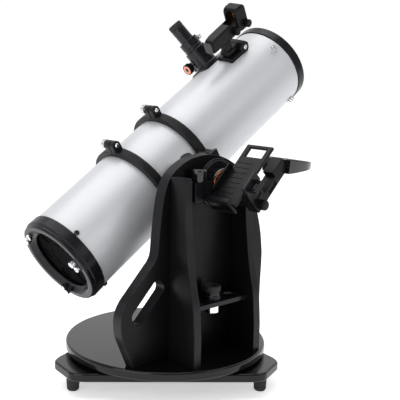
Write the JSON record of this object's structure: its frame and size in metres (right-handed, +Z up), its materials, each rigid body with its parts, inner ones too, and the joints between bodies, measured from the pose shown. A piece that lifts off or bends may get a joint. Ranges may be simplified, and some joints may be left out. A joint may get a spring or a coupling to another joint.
{
  "type": "table-top dobsonian telescope",
  "caption": "Newtonian tube in two clamp rings on a one-armed laminate stand that turns on a three-footed board, with focuser, finder and a dock for a hand-held device.",
  "frame": {"origin": "bottom centre of the whole object's box, on the surface the feet stand on", "axes": "+Z up; +X along the tube's heading, towards its open end; -Y the outer side of the upright panel, where the tray and the device dock are"},
  "size_m": [0.6966, 0.433, 0.7567],
  "materials": {
    "black_laminate": "satin",
    "rubber": "matte",
    "bearing_nylon": "satin",
    "chrome_hardware": "polished",
    "turned_steel": "satin",
    "black_plastic": "satin",
    "gloss_black_plastic": "gloss",
    "cast_black": "satin",
    "silver_tube": "satin",
    "dovetail_aluminium": "satin",
    "black_anodised": "satin",
    "orange_anodised": "gloss",
    "mirror_glass": "polished",
    "amber_glass": "gloss"
  },
  "bodies": {
    "ground_base": {"ground_board": "black_laminate", "foot_1": "rubber", "foot_2": "rubber", "foot_3": "rubber", "glide_ring": "bearing_nylon", "pivot_bolt": "chrome_hardware", "pivot_nut": "chrome_hardware"},
    "stand": {"turntable": "black_laminate", "side_panel": "black_laminate", "rib_left": "black_laminate", "rib_right": "black_laminate", "altitude_bushing": "bearing_nylon", "accessory_tray": "black_plastic"},
    "tube_assembly": {"altitude_shaft": "turned_steel", "altitude_hub": "black_plastic", "saddle": "cast_black", "dovetail_bar": "dovetail_aluminium", "ring_1_fixed": "cast_black", "ring_2_fixed": "cast_black", "tube": "silver_tube", "cell_ring": "black_plastic", "front_ring": "black_plastic", "mirror_cell": "cast_black", "primary_mirror": "mirror_glass", "spider": "cast_black", "diagonal_mirror": "mirror_glass", "diagonal_holder": "black_plastic", "focuser_body": "black_anodised", "finder_shoe": "black_plastic", "finder_body": "black_plastic", "finder_lens": "amber_glass", "dock_arm": "black_plastic", "mirror_tray": "black_plastic", "dock_mirror": "mirror_glass"},
    "altitude_clamp": {"altitude_knob": "gloss_black_plastic", "altitude_knob_ring": "orange_anodised"},
    "saddle_clamp": {"saddle_knob": "black_plastic"},
    "rear_ring_half": {"ring_1_swing": "cast_black"},
    "front_ring_half": {"ring_2_swing": "cast_black"},
    "rear_ring_screw": {"ring_1_screw": "chrome_hardware"},
    "front_ring_screw": {"ring_2_screw": "chrome_hardware"},
    "focuser_draw": {"drawtube": "black_anodised", "eyepiece": "black_anodised"},
    "focus_shaft": {"pinion_shaft": "chrome_hardware", "focus_knob_1": "black_anodised", "focus_knob_2": "black_anodised"},
    "eyepiece_clamp": {"eyepiece_screw": "chrome_hardware"},
    "finder_aim": {"finder_knob_1": "black_plastic"},
    "finder_dimmer": {"finder_knob_2": "black_plastic"},
    "dock_carriage": {"dock_platform": "black_plastic"},
    "dock_gripper": {"dock_jaw": "black_plastic"},
    "dock_pinion": {"dock_slide_knob": "black_plastic"},
    "dock_lock": {"dock_lock_knob": "gloss_black_plastic"},
    "loose_eyepiece": {"spare_eyepiece": "black_anodised"},
    "collimation_1": {"collimation_screw_1": "chrome_hardware"},
    "cell_lock_1": {"lock_screw_1": "chrome_hardware"},
    "collimation_2": {"collimation_screw_2": "chrome_hardware"},
    "cell_lock_2": {"lock_screw_2": "chrome_hardware"},
    "collimation_3": {"collimation_screw_3": "chrome_hardware"},
    "cell_lock_3": {"lock_screw_3": "chrome_hardware"}
  },
  "joints": [
    {"name": "azimuth_turn", "type": "hinge", "parent": "ground_base", "child": "stand", "pos_m": [-0.08847, 0.01352, 0.06], "axis": [0, 0, 1], "continuous": true},
    {"name": "altitude_tilt", "type": "hinge", "parent": "stand", "child": "tube_assembly", "pos_m": [-0.05447, -0.08578, 0.401], "axis": [0, -1, 0], "range_deg": [-32, 57]},
    {"name": "altitude_clamp_turn", "type": "hinge", "parent": "tube_assembly", "child": "altitude_clamp", "pos_m": [-0.05447, -0.09648, 0.401], "axis": [0, -1, 0], "range_deg": [0, 540]},
    {"name": "saddle_clamp_turn", "type": "hinge", "parent": "tube_assembly", "child": "saddle_clamp", "pos_m": [-0.08156, -0.03238, 0.44303], "axis": [-0.5417, 0, 0.8406], "range_deg": [0, 540]},
    {"name": "rear_ring_open", "type": "hinge", "parent": "tube_assembly", "child": "rear_ring_half", "pos_m": [-0.04586, 0.09292, 0.27688], "axis": [-0.8406, 0, -0.5417], "range_deg": [0, 50]},
    {"name": "rear_ring_screw_turn", "type": "hinge", "parent": "rear_ring_half", "child": "rear_ring_screw", "pos_m": [-0.16666, 0.10692, 0.46432], "axis": [0, 1, 0], "range_deg": [0, 540]},
    {"name": "front_ring_open", "type": "hinge", "parent": "tube_assembly", "child": "front_ring_half", "pos_m": [0.05669, 0.09292, 0.34296], "axis": [-0.8406, 0, -0.5417], "range_deg": [0, 50]},
    {"name": "front_ring_screw_turn", "type": "hinge", "parent": "front_ring_half", "child": "front_ring_screw", "pos_m": [-0.06411, 0.10692, 0.53041], "axis": [0, 1, 0], "range_deg": [0, 540]},
    {"name": "focus_travel", "type": "slide", "parent": "tube_assembly", "child": "focuser_draw", "axis": [-0.4805, 0.4617, 0.7456], "range_m": [0, 0.035]},
    {"name": "focus_turn", "type": "hinge", "parent": "tube_assembly", "child": "focus_shaft", "pos_m": [0.13318, 0.1655, 0.62855], "axis": [0.8406, 0, 0.5417], "range_deg": [0, 520]},
    {"name": "eyepiece_clamp_turn", "type": "hinge", "parent": "focuser_draw", "child": "eyepiece_clamp", "pos_m": [0.13295, 0.16403, 0.68429], "axis": [0.8406, 0, 0.5417], "range_deg": [0, 540]},
    {"name": "finder_aim_turn", "type": "hinge", "parent": "tube_assembly", "child": "finder_aim", "pos_m": [0.16764, 0.05215, 0.71352], "axis": [0.0847, -0.9877, -0.1315], "range_deg": [-180, 180]},
    {"name": "finder_dimmer_turn", "type": "hinge", "parent": "tube_assembly", "child": "finder_dimmer", "pos_m": [0.13917, 0.05724, 0.69493], "axis": [0.0847, -0.9877, -0.1315], "range_deg": [0, 270]},
    {"name": "dock_travel", "type": "slide", "parent": "tube_assembly", "child": "dock_carriage", "axis": [0.7034, 0, 0.7108], "range_m": [-0.008, 0.008]},
    {"name": "dock_pinion_turn", "type": "hinge", "parent": "tube_assembly", "child": "dock_pinion", "pos_m": [-0.01964, -0.17648, 0.36653], "axis": [0, -1, 0], "range_deg": [-93, 93]},
    {"name": "dock_grip", "type": "slide", "parent": "dock_carriage", "child": "dock_gripper", "axis": [0, -1, 0], "range_m": [0, 0.012], "stiffness_N_per_m": 300, "springref_m": -0.01},
    {"name": "dock_lock_turn", "type": "hinge", "parent": "tube_assembly", "child": "dock_lock", "pos_m": [-0.11647, -0.10158, 0.42], "axis": [0, 0, 1], "range_deg": [0, 540]},
    {"name": "collimation_turn_1", "type": "hinge", "parent": "tube_assembly", "child": "collimation_1", "pos_m": [-0.31448, 0.02199, 0.25988], "axis": [-0.8406, 0, -0.5417], "range_deg": [-180, 180]},
    {"name": "cell_lock_turn_1", "type": "hinge", "parent": "tube_assembly", "child": "cell_lock_1", "pos_m": [-0.30707, 0.01908, 0.24837], "axis": [-0.8406, 0, -0.5417], "range_deg": [-180, 180]},
    {"name": "collimation_turn_2", "type": "hinge", "parent": "tube_assembly", "child": "collimation_2", "pos_m": [-0.32969, 0.14764, 0.28348], "axis": [-0.8406, 0, -0.5417], "range_deg": [-180, 180]},
    {"name": "cell_lock_turn_2", "type": "hinge", "parent": "tube_assembly", "child": "cell_lock_2", "pos_m": [-0.33477, 0.13723, 0.29136], "axis": [-0.8406, 0, -0.5417], "range_deg": [-180, 180]},
    {"name": "collimation_turn_3", "type": "hinge", "parent": "tube_assembly", "child": "collimation_3", "pos_m": [-0.26314, 0.10913, 0.18022], "axis": [-0.8406, 0, -0.5417], "range_deg": [-180, 180]},
    {"name": "cell_lock_turn_3", "type": "hinge", "parent": "tube_assembly", "child": "cell_lock_3", "pos_m": [-0.26549, 0.12245, 0.18386], "axis": [-0.8406, 0, -0.5417], "range_deg": [-180, 180]},
    {"name": "eyepiece_lift", "type": "slide", "parent": "stand", "child": "loose_eyepiece", "axis": [0, 0, 1], "range_m": [0, 0.06]}
  ],
  "couplings": [
    {"joint": "focus_turn", "follows": "focus_travel", "rad_per_m": 250},
    {"joint": "dock_pinion_turn", "follows": "dock_travel", "rad_per_m": 200}
  ]
}
